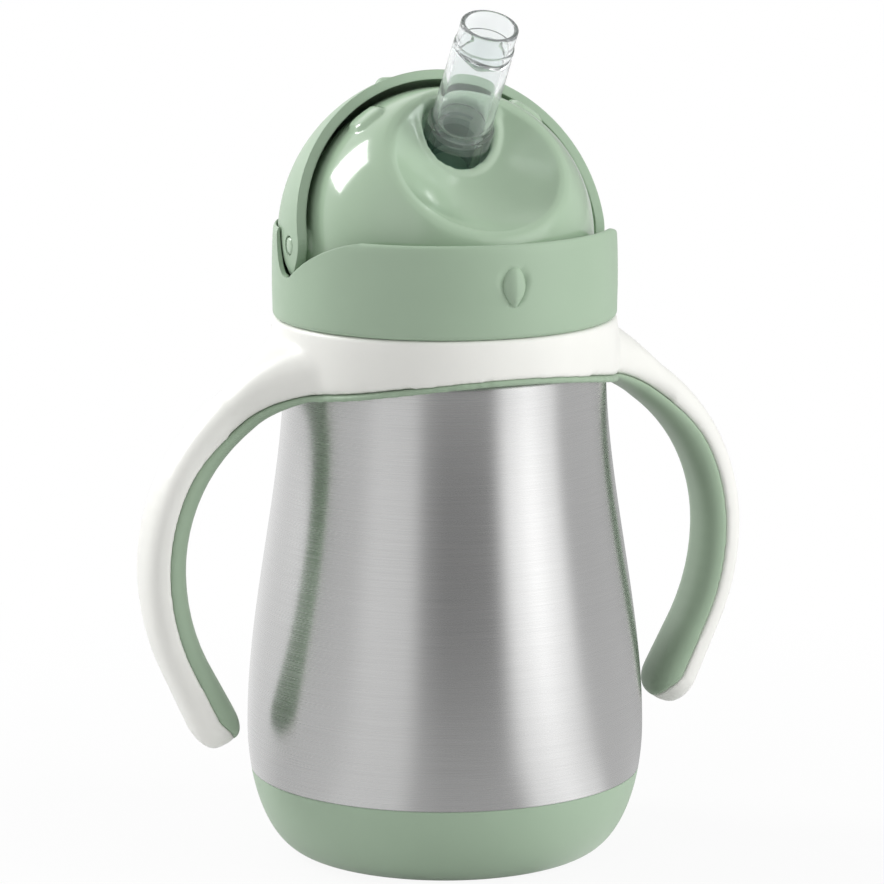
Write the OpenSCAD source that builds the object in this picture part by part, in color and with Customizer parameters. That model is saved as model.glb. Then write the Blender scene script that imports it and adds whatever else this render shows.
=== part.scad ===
// Insulated straw cup for a toddler: steel vessel, loose ring with two handles, lid with a
// swing-over cover and a folding silicone mouthpiece.
// Frame: millimetres, +Z up, the base stands on z = 0, the drinking side faces -Y
// and the handles lie on +X and -X.

/* [Vessel] */
// Outside diameter at the widest part of the steel
belly_d = 78; // [70:1:92]
// Outside diameter of the steel just under the handle ring
waist_d = 62.8; // [60:0.5:72]
// Height of the widest part
belly_z = 24.5; // [20:0.5:34]
// Height of the shoulder that the handle ring sits on
shoulder_z = 97.3; // [84:0.1:120]
// How far the foot curves in from the widest part
foot_inset = 11.3; // [6:0.5:16]
// Height of the seam between the steel and the silicone boot
boot_z = 16.3; // [10:0.5:24]
// Wall of the silicone boot
boot_wall = 1.6; // [1:0.1:3]
// Wall of each steel skin
skin = 0.6; // [0.4:0.1:1]
// Vacuum gap between the two steel skins
vacuum_gap = 3; // [1:0.5:5]
// Outside diameter of the steel neck
neck_d = 57.8; // [52:0.2:60]
// Width of the flat ring under the boot that the cup stands on
foot_w = 6; // [3:0.5:10]
// Height of the neck above the shoulder
neck_h = 15.2; // [12:0.1:24]
// How far the rolled thread stands out of the neck
thread_depth = 1.1; // [0.6:0.1:1.5]
// Rise of the thread in one turn
thread_pitch = 3.2; // [2:0.2:4]
// Turns of the thread
thread_turns = 1.4; // [1:0.1:2]

/* [Handles] */
// Outside diameter of the handle ring
ring_d = 68; // [66:0.5:76]
// Height of the handle ring at the front
ring_h = 7.6; // [6:0.1:14]
// Height of the soft band along the lower edge of the ring
band_h = 1.1; // [0.6:0.1:3]
// Radius of the long curve of the ring's lower edge
ring_sweep = 110; // [80:5:200]
// Room for fingers between a handle and the widest part of the steel
finger_gap = 15.9; // [12:0.1:24]
// Depth of a handle's outermost point below the shoulder
handle_drop = 37.3; // [30:0.1:48]
// Radius of the handle's curve above that point
handle_upper_r = 37; // [30:1:48]
// Radius of the handle's curve below that point
handle_lower_r = 44; // [36:1:60]
// Sweep of the upper curve, in degrees
handle_upper_a = 54; // [46:1:64]
// Sweep of the lower curve, in degrees
handle_lower_a = 26.5; // [15:0.5:35]
// Straight length between the lower curve and the rounded tip
handle_tail = 11.6; // [4:0.2:18]
// Width of a handle
handle_w = 11.6; // [8:0.2:16]
// Thickness of a handle, both materials together
handle_t = 8.2; // [6:0.2:12]
// How much thinner than half the handle its soft inside starts, under the ring
grip_thin = 1.2; // [0:0.1:2]
// How far the hard outside wraps round the tip, as a share of half its thickness
tip_wrap = 0.6; // [0:0.05:0.8]

/* [Lid] */
// Outside diameter of the collar
collar_d = 67.2; // [64:0.2:74]
// Height of the collar
collar_h = 18; // [14:0.5:24]
// Wall of the collar's upper rim
rim_wall = 0.6; // [0.5:0.05:2]
// Outside radius of the dome
dome_r = 29; // [24:0.5:31]
// Wall of the dome
dome_wall = 1.8; // [1.2:0.1:3]
// Height of the cover's pivot above the collar's lower edge
pivot_h = 15.2; // [12:0.2:18]
// Thickness of the dome's flange
flange_t = 1.7; // [1:0.1:3]
// Depth of the dish at the front of the dome, below the dome's own curve
dish_depth = 13.7; // [8:0.1:15]
// Radius of the dish's bowl
dish_r = 22.6; // [18:0.2:30]
// Tilt of the dish's axis from vertical
dish_tilt = 45; // [35:1:55]
// Rounding of the dish's rim
dish_round = 2.4; // [1:0.1:4]
// Width of the raised drop that marks the drinking side
drop_w = 5.2; // [3:0.1:8]
// Height of that drop
drop_h = 7.6; // [5:0.1:12]
// How far its ridge stands out of the collar
drop_t = 1.3; // [0.4:0.1:2]
// Distance of each raised stop pad on the dome from its middle
pad_x = 14.2; // [10:0.1:18]
// Width of a stop pad
pad_w = 5.3; // [3:0.1:8]
// Length of a stop pad
pad_l = 5.7; // [3:0.1:8]
// Thickness of the lid gasket
gasket_t = 1; // [0.8:0.1:2]
// Diameter of the vent hole
vent_d = 2.4; // [1.5:0.1:4]
// Place of the vent, in degrees behind the top of the dome
vent_a = 30; // [20:1:50]

/* [Cover] */
// Wall of the cover
cover_wall = 1.9; // [1.4:0.1:2.4]
// Tilt of the cover's front edge from vertical, when open
cover_tilt = 19.5; // [10:0.5:30]
// How far the cover's front edge lies before the pivot
cover_lead = 4.5; // [2:0.1:6]
// How far the cover reaches below the pivot at the back, when open
cover_tail = 2.8; // [1:0.1:5]
// How far the ears reach below the pivot
ear_drop = 5.7; // [4.5:0.1:6]
// Diameter of the pivot pins on the dome
pin_d = 3.7; // [2.5:0.1:6]
// Width of the thumb tab
tab_w = 10.6; // [6:0.2:16]
// How far the thumb tab stands out of the cover
tab_h = 4.6; // [2:0.2:7]
// Place of the thumb tab, in degrees behind the top of the dome
tab_a = 40; // [25:1:60]

/* [Straw] */
// Tilt of the mouthpiece from vertical
straw_tilt = 34.5; // [20:0.5:45]
// Length of the mouthpiece above the dish
mouth_len = 29.5; // [20:0.5:40]
// Outside diameter of the mouthpiece's tip
mouth_d = 11.2; // [9:0.2:14]
// Outside diameter of the mouthpiece's bulb in the dish
bulb_d = 13.6; // [12:0.2:16]
// Wall of the mouthpiece
mouth_wall = 1.1; // [0.8:0.1:2]
// Distance of the slit valve below the tip
valve_drop = 8.5; // [5:0.5:14]
// Outside diameter of the lower straw
straw_d = 9; // [7:0.2:11]
// Wall of the lower straw
straw_wall = 1; // [0.6:0.1:2]
// Space between the end of the straw and the floor of the cup
straw_floor_gap = 3.5; // [1:0.5:8]

/* [Fits] */
// Radial clearance of the pivot pins in the cover's ears
pin_gap = 0.08; // [0.02:0.01:0.1]
// Clearance between parts that are bonded, seated or pressed together
seat_gap = 0.05; // [0.01:0.01:0.1]
// Radial clearance of parts that slide over the neck and its thread
slide_gap = 0.2; // [0.15:0.05:0.6]
// Radial clearance between the cover and the rim it dips behind
cover_gap = 0.2; // [0.15:0.05:0.5]

/* [Hidden] */
$fn = 96;
eps = 0.01;

steel = [0.80, 0.80, 0.79];
sage = [0.64, 0.73, 0.63];
sage_gloss = [0.67, 0.76, 0.66];
white = [0.94, 0.94, 0.93];
clear_silicone = [0.86, 0.90, 0.88, 0.55];

belly_r = belly_d / 2;
waist_r = waist_d / 2;
neck_r = neck_d / 2;
lip_z = shoulder_z + neck_h;
crest_r = neck_r + thread_depth;
liner_z = boot_wall + skin + 6.4;
neck_liner_r = neck_r - skin - 0.4;
liner_inset = skin + vacuum_gap;
base_z = boot_wall + seat_gap;
foot_r = belly_r - foot_inset;
thread_z = lip_z - 1.6;

ring_r = ring_d / 2;
ring_z = shoulder_z + seat_gap;
ring_top = ring_z + ring_h + band_h;
ring_bore = crest_r + slide_gap;
skirt_bore = waist_r + 0.35;
skirt_low = shoulder_z - 7;
sweep_z = ring_z + band_h - ring_sweep;
handle_x = belly_r + finger_gap + handle_t / 2;
handle_z = shoulder_z - handle_drop;
handle_h = (handle_t - seat_gap) / 2;
root_x = ring_r - 7;
root_lift = 0.25;
root_spread = 22;
tip_swell = 0.7;

collar_r = collar_d / 2;
collar_z = ring_top + seat_gap;
collar_top = collar_z + collar_h;
pivot_z = collar_z + pivot_h;
gasket_z = lip_z + seat_gap;
flange_z = gasket_z + gasket_t + seat_gap;
flange_top = flange_z + flange_t;
rim_r = collar_r - 0.35 - rim_wall;
flange_r = rim_r - 0.15;
plug_r = neck_liner_r - skin - 0.5;
notch_reach = collar_r * 0.61;
drop_z = 9.9;
skirt_r = dome_r - 0.12;

cover_r = rim_r - cover_gap;
cover_in = cover_r - cover_wall;

bowl_d = dome_r - dish_depth + dish_r;
hole_r = bulb_d / 2 + 0.3;
hole_u = 20.5;
hole_a = 16.4;
hole_y = -hole_u * sin(hole_a);
hole_z = pivot_z + hole_u * cos(hole_a);
socket_low = -13;
socket_wall = 1.7;
mouth_r = mouth_d / 2;
bore_r = mouth_r - mouth_wall;
adaptor_gap_h = socket_low - 1.7;
straw_r = straw_d / 2;
straw_in = straw_r - straw_wall;
straw_start = adaptor_gap_h - 1.8;
straw_lead = 6.5;
straw_bend = 10;

// Eased step from 0 to 1 with level ends.
function ease(t) = t * t * (3 - 2 * t);

// Outside radius of the steel at height z.
function body_r(z) =
    z > belly_z ? waist_r + (belly_r - waist_r) * ease((shoulder_z - z) / (shoulder_z - belly_z))
                : belly_r - foot_inset * (1 - sqrt(max(0, 1 - pow((belly_z - z) / belly_z, 2))));

// Points of the body's side between two heights, moved inwards.
function side(z0, z1, inset, n) =
    [for (i = [0 : n]) let (z = z0 + (z1 - z0) * i / n) [body_r(z) - inset, z]];

// The same below the widest part, spaced evenly round the foot's curve.
function foot(z0, z1, inset, n) =
    let (a0 = asin(1 - z0 / belly_z), a1 = asin(1 - z1 / belly_z))
    [for (i = [0 : n]) let (a = a0 + (a1 - a0) * i / n)
        [belly_r - foot_inset * (1 - cos(a)) - inset, belly_z * (1 - sin(a))]];

// Points of an arc.
function arc(c, r, a0, a1, n) =
    [for (i = [0 : n]) let (a = a0 + (a1 - a0) * i / n) [c[0] + r * cos(a), c[1] + r * sin(a)]];

// Points of a curve with one control point.
function bend(p, q, s, n) =
    [for (i = [0 : n]) let (t = i / n) (1 - t) * (1 - t) * p + 2 * t * (1 - t) * q + t * t * s];

// Rounded outline of half a handle's section: width w, height h.
function half_section(w, h, n) =
    [for (i = [0 : n]) let (a = 180 * i / n)
        [w / 2 * sign(cos(a)) * pow(abs(cos(a)), 0.72), h * pow(abs(sin(a)), 0.72)]];

// Stands the mouthpiece's axis up: local z = 0 is the middle of the hole in the dish.
module on_straw_axis() {
    translate([0, hole_y, hole_z]) rotate([straw_tilt, 0, 0]) children();
}

// A round bar along X through the pivot.
module pivot_bar(r, x0, x1) {
    translate([x0, 0, pivot_z]) rotate([0, 90, 0]) cylinder(r = r, h = x1 - x0);
}

// Rolled thread: a ridge that climbs round the neck and fades out at both ends.
module thread_ridge() {
    steps = round(thread_turns * 40);
    function rise(i) = min(1, 6 * i / steps, 6 * (steps - i) / steps);
    function ring(i) =
        let (a = 360 * thread_turns * i / steps, z = thread_z - thread_pitch * a / 360,
             d = -0.2 + (thread_depth + 0.2) * rise(i))
        [for (p = [[-0.35, 0.95], [d, 0.3], [d, -0.3], [-0.35, -0.95]])
            [(neck_r + p[0]) * cos(a), (neck_r + p[0]) * sin(a), z + p[1]]];
    pts = [for (i = [0 : steps]) each ring(i)];
    sides = [for (i = [0 : steps - 1], k = [0 : 3])
        [4 * i + k, 4 * i + 4 + k, 4 * i + 4 + (k + 1) % 4, 4 * i + (k + 1) % 4]];
    ends = [[0, 1, 2, 3], [4 * steps + 3, 4 * steps + 2, 4 * steps + 1, 4 * steps]];
    polyhedron(points = pts, faces = concat(sides, ends), convexity = 6);
}

module outer_shell() {
    color(steel) {
        rotate_extrude() polygon(concat(
            foot(boot_z, belly_z, 0, 4), side(belly_z + 2, shoulder_z - 1, 0, 24),
            [[waist_r - 0.4, shoulder_z], [neck_r, shoulder_z], [neck_r, lip_z - skin - seat_gap],
             [neck_r - skin, lip_z - skin - seat_gap], [neck_r - skin, shoulder_z - skin]],
            side(shoulder_z - 3, belly_z + 2, skin, 22), foot(belly_z, boot_z + 1, skin, 4),
            foot(boot_z - 1, base_z + 1.2, boot_wall + 2 * seat_gap + skin, 14),
            foot(base_z + 1.2, boot_z - eps, boot_wall + 2 * seat_gap, 14)));
        thread_ridge();
    }
}

module inner_liner() {
    floor_r = body_r(liner_z + 9) - liner_inset - 9;
    low = liner_z + 10;
    high = shoulder_z - 6;
    color(steel) rotate_extrude() polygon(concat(
        [[0, liner_z]],
        arc([floor_r, liner_z + 9], 9, -90, -6, 8),
        side(low, high, liner_inset, 22),
        [[neck_liner_r, shoulder_z], [neck_liner_r, lip_z - skin],
         [neck_r, lip_z - skin], [neck_r, lip_z], [neck_liner_r - skin, lip_z],
         [neck_liner_r - skin, shoulder_z]],
        side(high, low, liner_inset + skin, 22),
        arc([floor_r, liner_z + 9], 9 - skin, -6, -90, 8),
        [[0, liner_z + skin]]));
}

module shell_base() {
    r = body_r(base_z + 1.2) - boot_wall - skin - 3 * seat_gap;
    color(steel) difference() {
        translate([0, 0, base_z]) cylinder(r1 = r - 1.5, r2 = r, h = 1.6);
        translate([0, 0, base_z - 1]) cylinder(r = r * 0.55, h = 1.8);
        translate([0, 0, base_z + 0.8]) cylinder(r1 = r * 0.6, r2 = r - 1.2, h = 0.9);
    }
}

module base_boot() {
    color(sage) rotate_extrude() polygon(concat(
        [[0, 0.7], [foot_r - foot_w - 1, 0.7], [foot_r - foot_w, 0], [foot_r, 0]],
        foot(0.05, boot_z - 0.5, 0, 20),
        [[body_r(boot_z) - 0.35, boot_z - 0.1], [body_r(boot_z) - boot_wall, boot_z - 0.1]],
        foot(boot_z - 0.8, base_z + 0.2, boot_wall, 16),
        [[body_r(base_z) - boot_wall - 0.6, base_z - seat_gap], [0, base_z - seat_gap]]));
}

// Section of the handle ring between its bore and its outer face.
module ring_blank() {
    rotate_extrude() polygon(concat(
        [[ring_bore, ring_top], [ring_bore, ring_z], [skirt_bore, ring_z], [skirt_bore, skirt_low]],
        bend([ring_r - 0.35, skirt_low], [ring_r + 0.25, ring_z + 3], [ring_r - 0.5, ring_top - 0.6], 8),
        [[ring_r - 0.9, ring_top]]));
}

// Long round bar whose top is the sweeping lower edge of the ring.
module sweep_bar(r) {
    translate([0, 50, sweep_z]) rotate([90, 0, 0]) cylinder(r = r, h = 100, $fn = 360);
}

// Point where the lines through p along d and through q along e cross.
function meet(p, d, q, e) = p + d * cross(q - p, e) / cross(d, e);

// Stations along one stretch of a handle's curve, from angle a0 to a1 round [cx, handle_z]. The
// seam lies inside the middle line near the ring and joins it further on.
function handle_arc(cx, r, a0, a1, first, n) =
    [for (i = [first : n]) let (a = a0 + (a1 - a0) * i / n, d = seam_shift(a))
        [cx + (r - d) * cos(a), handle_z + (r - d) * sin(a), cos(a), sin(a),
         handle_w, handle_h + d, handle_h - d]];
function seam_shift(a) = grip_thin * ease(max(0, min(1, 2 * a / handle_upper_a - 1)));

// A handle's seam from the ring to the tip. Each station is [x, z, normal x, normal z,
// width, thickness outside the seam, thickness inside it].
function handle_stations() =
    let (h = handle_h, w = handle_w, tip_h = h + tip_swell / 2, tip_w = w + tip_swell,
         start = [root_x, sweep_z + sqrt(ring_sweep * ring_sweep - root_x * root_x) + root_lift],
         upper = handle_arc(handle_x - handle_upper_r, handle_upper_r, handle_upper_a, 0, 0, 12),
         lower = handle_arc(handle_x - handle_lower_r, handle_lower_r, 0, -handle_lower_a, 1, 6),
         end = [upper[0][0], upper[0][1]],
         knee = meet(start, [start[1] - sweep_z, -root_x],
                     end, [sin(handle_upper_a), -cos(handle_upper_a)]),
         low = [lower[5][0], lower[5][1]],
         n = [cos(handle_lower_a), -sin(handle_lower_a)], d = [n[1], -n[0]])
    concat(
        [for (i = [0 : 6]) let (t = i / 7, f = 1 - t, p = f * f * start + 2 * f * t * knee + t * t * end,
             v = f * (knee - start) + t * (end - knee), u = v / norm(v))
            [p[0], p[1], -u[1], u[0], w + root_spread * pow(f, 2.2),
             h + grip_thin + (ring_top - start[1] - 0.2 - h - grip_thin) * pow(f, 1.3),
             h - grip_thin + (band_h + 0.4 - h + grip_thin) * f]],
        upper, lower,
        [for (i = [1, 2]) let (q = low + d * handle_tail * i / 2, g = tip_swell * i / 4)
            [q[0], q[1], n[0], n[1], w + 2 * g, h + g, h + g]],
        [for (i = [1 : 6]) let (a = 14.5 * i, g = tip_h * pow(cos(a), 0.6), s = tip_wrap * g * sin(a),
             q = low + d * (handle_tail + w / 2 * sin(a)) - s * n)
            [q[0], q[1], n[0], n[1], tip_w * cos(a), g + s, g - s]]);

// One half of a handle's thickness, outside the seam (s = 1) or inside it (s = -1), on the +X side.
module handle_half(s) {
    rows = handle_stations();
    m = 16;
    count = len(rows);
    pts = [for (q = rows, p = half_section(q[4], s > 0 ? q[5] : q[6], m))
        let (t = s * (p[1] + seat_gap / 2)) [q[0] + q[2] * t, p[0], q[1] + q[3] * t]];
    quads = [for (i = [0 : count - 2], k = [0 : m])
        let (a = (m + 1) * i + k, b = (m + 1) * i + (k + 1) % (m + 1)) [a, a + m + 1, b + m + 1, b]];
    ends = [[for (k = [0 : m]) k], [for (k = [0 : m]) (m + 1) * count - 1 - k]];
    faces = concat(quads, ends);
    polyhedron(points = pts, faces = s > 0 ? faces : [for (f = faces) [for (k = [1 : len(f)]) f[len(f) - k]]],
        convexity = 8);
}

module handle_frame() {
    color(white) difference() {
        union() {
            difference() {
                ring_blank();
                sweep_bar(ring_sweep);
            }
            for (m = [0, 1]) mirror([m, 0, 0]) handle_half(1);
        }
        translate([0, 0, ring_z - 1]) cylinder(r = ring_bore, h = ring_h + 10);
        translate([0, 0, skirt_low - 5]) cylinder(r = skirt_bore, h = ring_z - skirt_low + 5);
    }
}

module handle_grip() {
    color(sage) union() {
        difference() {
            intersection() {
                ring_blank();
                sweep_bar(ring_sweep - seat_gap);
            }
            translate([0, 0, -band_h]) sweep_bar(ring_sweep - seat_gap);
        }
        for (m = [0, 1]) mirror([m, 0, 0]) difference() {
            handle_half(-1);
            difference() {
                translate([0, 0, skirt_low - 5]) cylinder(r = ring_r + seat_gap, h = 40);
                intersection() {
                    sweep_bar(ring_sweep - seat_gap);
                    translate([0, 0, skirt_low - 5]) difference() {
                        cylinder(r = ring_r + 1, h = 40);
                        cylinder(r = skirt_bore + 0.2, h = 40);
                    }
                }
            }
        }
    }
}

// Notch through the rim beside a pivot, seen along X: a long slope in front of the ear, a round
// bottom under it and a short steep side behind it.
module rim_notch() {
    low = pivot_z - ear_drop - cover_gap;
    top = collar_top + 0.01;
    pts = concat(
        bend([-notch_reach, top], [-0.62 * notch_reach, top - 1.8], [-3.6, low + 0.8], 14),
        bend([-3.6, low + 0.8], [-2.1, low - 0.3], [-0.6, low], 5),
        bend([-0.4, low], [2.6, low + 0.3], [4.6, top - 2.5], 8),
        [[5.2, top], [5.2, top + 5], [-notch_reach, top + 5]]);
    rotate([90, 0, 90]) translate([0, 0, collar_r / 2]) linear_extrude(collar_r) polygon(pts);
}

// Drop outline, point down.
module drop(w, h) {
    polygon([for (i = [0 : 47]) let (t = 360 * i / 48)
        [w / 2 * sin(t) * pow(sin(t / 2), 1.1) * 1.325, -h / 2 * cos(t)]]);
}

// Raised drop on the front of the collar, with a ridge down its middle.
module drop_mark() {
    y = collar_r - 0.6;
    translate([0, 0, collar_z + drop_z]) intersection() {
        rotate([90, 0, 0]) linear_extrude(collar_r + drop_t) drop(drop_w, drop_h);
        translate([0, 0, -drop_h]) linear_extrude(2 * drop_h)
            polygon([[-drop_w, -y], [0, -collar_r - drop_t], [drop_w, -y]]);
        translate([-drop_w, 0, 0]) rotate([90, 0, 90]) linear_extrude(2 * drop_w)
            polygon(concat([[-y, drop_h / 2]],
                bend([-collar_r, drop_h / 2], [-collar_r - 1.6 * drop_t, drop_h * 0.2],
                     [-collar_r + 0.1, -drop_h / 2], 10),
                [[-y, -drop_h / 2]]));
    }
}

module lid_collar() {
    bore = crest_r + slide_gap;
    color(sage) difference() {
        rotate_extrude() polygon(concat(
            [[bore, collar_z + 0.5], [bore + 0.5, collar_z]],
            arc([collar_r - 1.1, collar_z + 1], 1, -90, 0, 5),
            bend([collar_r, collar_z + 6], [collar_r, collar_z + 14], [collar_r - 0.32, collar_top - 0.7], 6),
            [[collar_r - 0.6, collar_top - 0.12], [collar_r - 0.85, collar_top],
             [rim_r + 0.1, collar_top], [rim_r, collar_top - 0.15],
             [rim_r, flange_top + 0.55], [rim_r - 0.3, flange_top + 0.3], [rim_r, flange_top + seat_gap],
             [rim_r, flange_z - seat_gap], [bore, flange_z - seat_gap]]));
        for (m = [0, 1]) mirror([m, 0, 0]) rim_notch();
    }
    color(sage) drop_mark();
}

// The bowl of the dish or its wall, a ball before the dome.
module bowl(r) {
    translate([0, 0, pivot_z]) rotate([dish_tilt, 0, 0]) translate([0, 0, bowl_d]) sphere(r = r, $fn = 128);
}

// Cutter that rounds the dish's rim: it turns about the dish's axis.
module rim_cutter() {
    f = dish_round;
    h = (pow(dome_r - f, 2) - pow(dish_r + f, 2) + bowl_d * bowl_d) / (2 * bowl_d);
    r = sqrt(pow(dome_r - f, 2) - h * h);
    translate([0, 0, pivot_z]) rotate([dish_tilt, 0, 0]) rotate_extrude() polygon(concat(
        arc([r, h], f, atan2(h, r) - 4, 184 - atan2(bowl_d - h, r), 18),
        [[r - 3.2, h + 4.4], [r + 2.4, h + 4.8], [r + 3.4, h + 1.2]]));
}

module lid_dome() {
    color(sage_gloss) difference() {
        union() {
            difference() {
                union() {
                    intersection() {
                        translate([0, 0, pivot_z]) sphere(r = dome_r, $fn = 128);
                        translate([-60, -60, pivot_z - 2]) cube([120, 120, 60]);
                    }
                    translate([0, 0, flange_top - 1]) cylinder(r = skirt_r, h = pivot_z - flange_top + 1.5);
                }
                difference() {
                    union() {
                        translate([0, 0, pivot_z]) sphere(r = dome_r - dome_wall, $fn = 128);
                        translate([0, 0, flange_z - 1])
                            cylinder(r = skirt_r - dome_wall, h = pivot_z - flange_z + 1.2);
                    }
                    bowl(dish_r + dome_wall);
                    on_straw_axis() translate([0, 0, socket_low]) cylinder(r = hole_r + socket_wall, h = 20);
                }
                bowl(dish_r);
            }
            rotate_extrude() polygon([
                [plug_r - 1.2, flange_z - 3.2], [plug_r - 0.3, flange_z - 3.2], [plug_r, flange_z - 2.7],
                [plug_r, flange_z], [flange_r, flange_z], [flange_r, flange_top],
                [skirt_r - dome_wall, flange_top], [plug_r - 1.2, flange_z + 1]]);
            intersection() {
                difference() {
                    translate([0, 0, pivot_z]) sphere(r = dome_r + 0.9, $fn = 128);
                    translate([0, 0, pivot_z]) sphere(r = dome_r - 0.7, $fn = 128);
                }
                for (m = [0, 1]) mirror([m, 0, 0]) translate([pad_x, 2.2 - pad_l, pivot_z])
                    rounded_pad(pad_w, pad_l, 1.4);
            }
            for (m = [0, 1]) mirror([m, 0, 0]) {
                pivot_bar(pin_d / 2, dome_r - 1, cover_r + 0.1);
                pivot_bar(pin_d / 2 + 1.4, dome_r - 1, cover_in - 0.4);
            }
        }
        on_straw_axis() {
            translate([0, 0, socket_low - 5]) cylinder(r = hole_r, h = 30);
            translate([0, 0, 0.4]) cylinder(r1 = hole_r, r2 = hole_r + 4, h = 4);
        }
        rim_cutter();
        translate([0, 0, pivot_z]) rotate([-vent_a, 0, 0]) translate([0, 0, dome_r - 4])
            cylinder(r = vent_d / 2, h = 8);
    }
}

module rounded_pad(w, l, r) {
    linear_extrude(40) union() {
        translate([r, 0]) square([w - 2 * r, l]);
        translate([0, r]) square([w, l - 2 * r]);
        for (x = [r, w - r], y = [r, l - r]) translate([x, y]) circle(r = r, $fn = 32);
    }
}

module lid_gasket() {
    color(clear_silicone) rotate_extrude() polygon([
        [plug_r + seat_gap, gasket_z], [neck_r + 0.4, gasket_z], [neck_r + 0.4, gasket_z + gasket_t],
        [plug_r + seat_gap, gasket_z + gasket_t]]);
}

module vent_valve() {
    color(clear_silicone) translate([0, 0, pivot_z]) rotate([-vent_a, 0, 0]) rotate_extrude() polygon([
        [0, dome_r + 0.75], [1.2, dome_r + 0.7], [2.9, dome_r + 0.25], [2.9, dome_r + 0.18],
        [vent_d / 2 - seat_gap, dome_r + 0.12], [vent_d / 2 - seat_gap, dome_r - dome_wall - 0.3],
        [vent_d / 2 + 0.5, dome_r - dome_wall - 0.6], [vent_d / 2 - 0.3, dome_r - dome_wall - 2.2],
        [0, dome_r - dome_wall - 2.2]]);
}

// Slit valve across the mouthpiece's bore, and the walls round it.
module mouthpiece() {
    tip_z = mouth_len;
    plug = hole_r - 0.15;
    valve_z = tip_z - valve_drop;
    color(clear_silicone) on_straw_axis() difference() {
        rotate_extrude() polygon(concat(
            [[0, valve_z - 0.9], [bore_r * 0.5, valve_z - 0.5], [bore_r, valve_z + 0.3],
             [bore_r, tip_z - 0.9]],
            arc([mouth_r - 0.8, tip_z - 0.8], 0.8, 150, 0, 8),
            [[mouth_r, tip_z - 8], [mouth_r + 0.4, tip_z - 9], [mouth_r + 0.45, 12]],
            bend([mouth_r + 0.5, 8], [mouth_r + 0.6, 4.5], [bulb_d / 2, 1.2], 6),
            [[bulb_d / 2, 0.2], [plug, -0.6], [plug, socket_low - seat_gap],
             [plug + 1.6, socket_low - seat_gap], [plug + 1.6, socket_low - 1.6],
             [bore_r - 0.2, socket_low - 1.6], [bore_r - 0.2, -7], [bore_r - 0.6, -4], [bore_r, 0],
             [bore_r, valve_z - 1.4], [bore_r * 0.5, valve_z - 1.6], [0, valve_z - 1.9]]));
        translate([-2.4, -0.12, valve_z - 3]) cube([4.8, 0.24, 4]);
    }
}

module straw_adaptor() {
    r = bore_r - 0.2 - seat_gap;
    color(clear_silicone) on_straw_axis() rotate_extrude() polygon([
        [r - 1.1, -7.5], [r - 0.4, -7.5], [r, -8.2], [r, adaptor_gap_h], [hole_r + 1.4, adaptor_gap_h],
        [hole_r + 1.4, straw_start + 0.1], [straw_in - seat_gap, straw_start + 0.1],
        [straw_in - seat_gap, straw_start - 5], [straw_in - 0.5, straw_start - 5.6],
        [straw_in - 1, straw_start - 5.6], [r - 1.1, straw_start]]);
}

// The lower straw: down the mouthpiece's axis, round a bend, then straight down to a slanted end.
module lower_straw() {
    m = 32;
    turns = 8;
    lead = straw_lead - straw_start;
    end_z = liner_z + skin + straw_floor_gap;
    start = [hole_y - straw_start * sin(straw_tilt), hole_z + straw_start * cos(straw_tilt)];
    knee = [hole_y + lead * sin(straw_tilt), hole_z - lead * cos(straw_tilt)];
    centre = knee - straw_bend * [cos(straw_tilt), sin(straw_tilt)];
    rows = concat(
        [[start[0], start[1], straw_tilt, 0]],
        [for (i = [0 : turns]) let (a = straw_tilt * (1 - i / turns))
            [centre[0] + straw_bend * cos(a), centre[1] + straw_bend * sin(a), a, 0]],
        [[centre[0] + straw_bend, end_z + straw_r, 0, 0.7]]);
    pts = [for (r = [straw_r, straw_in], q = rows, k = [0 : m - 1])
        let (v = r * sin(360 * k / m))
        [r * cos(360 * k / m), q[0] + v * cos(q[2]), q[1] + v * (sin(q[2]) + q[3])]];
    n = len(rows);
    function at(shell, i, k) = (shell * n + i) * m + k % m;
    outer = [for (i = [0 : n - 2], k = [0 : m - 1])
        [at(0, i, k), at(0, i + 1, k), at(0, i + 1, k + 1), at(0, i, k + 1)]];
    inner = [for (i = [0 : n - 2], k = [0 : m - 1])
        [at(1, i, k), at(1, i, k + 1), at(1, i + 1, k + 1), at(1, i + 1, k)]];
    top = [for (k = [0 : m - 1]) [at(0, 0, k), at(0, 0, k + 1), at(1, 0, k + 1), at(1, 0, k)]];
    low = [for (k = [0 : m - 1])
        [at(0, n - 1, k), at(1, n - 1, k), at(1, n - 1, k + 1), at(0, n - 1, k + 1)]];
    color(clear_silicone) polyhedron(points = pts, faces = concat(outer, inner, top, low), convexity = 6);
}

// The cover seen from its side, along X, with its pivot at the origin: behind the slanted front
// edge, above the tail, and with a tapered ear below the pivot.
module cover_side() {
    big = 2 * cover_r;
    function front(z) = [z * tan(cover_tilt) - cover_lead / cos(cover_tilt), z];
    pts = concat(
        [front(big), front(3)],
        bend(front(2.5), front(-1.2), [-1.4, 0.6 - ear_drop], 8),
        arc([0, 1.6 - ear_drop], 1.6, 218, 325, 6),
        bend([1.6, 1.1 - ear_drop], [2.6, 1.6 - ear_drop], [4, -cover_tail], 5),
        [[big, -cover_tail], [big, big]]);
    rotate([90, 0, 90]) linear_extrude(2 * big, center = true) polygon(pts);
}

// Thumb tab: a rounded ridge across the back of the cover.
module thumb_tab() {
    tip = 1.9;
    rotate([-tab_a, 0, 0]) hull() {
        for (x = [-1, 1]) {
            translate([x * (tab_w / 2 - tip), 0, cover_r + tab_h - tip]) sphere(r = tip, $fn = 32);
            translate([x * (tab_w / 2 - 2), 0, cover_r - 1.2]) cylinder(r = 2.9, h = 0.6, $fn = 32);
        }
    }
}

module cover() {
    color(sage) translate([0, 0, pivot_z]) difference() {
        union() {
            intersection() {
                sphere(r = cover_r, $fn = 160);
                cover_side();
            }
            thumb_tab();
        }
        sphere(r = cover_in, $fn = 160);
        rotate([0, 90, 0]) cylinder(r = pin_d / 2 + pin_gap, h = 3 * cover_r, center = true);
    }
}

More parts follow.
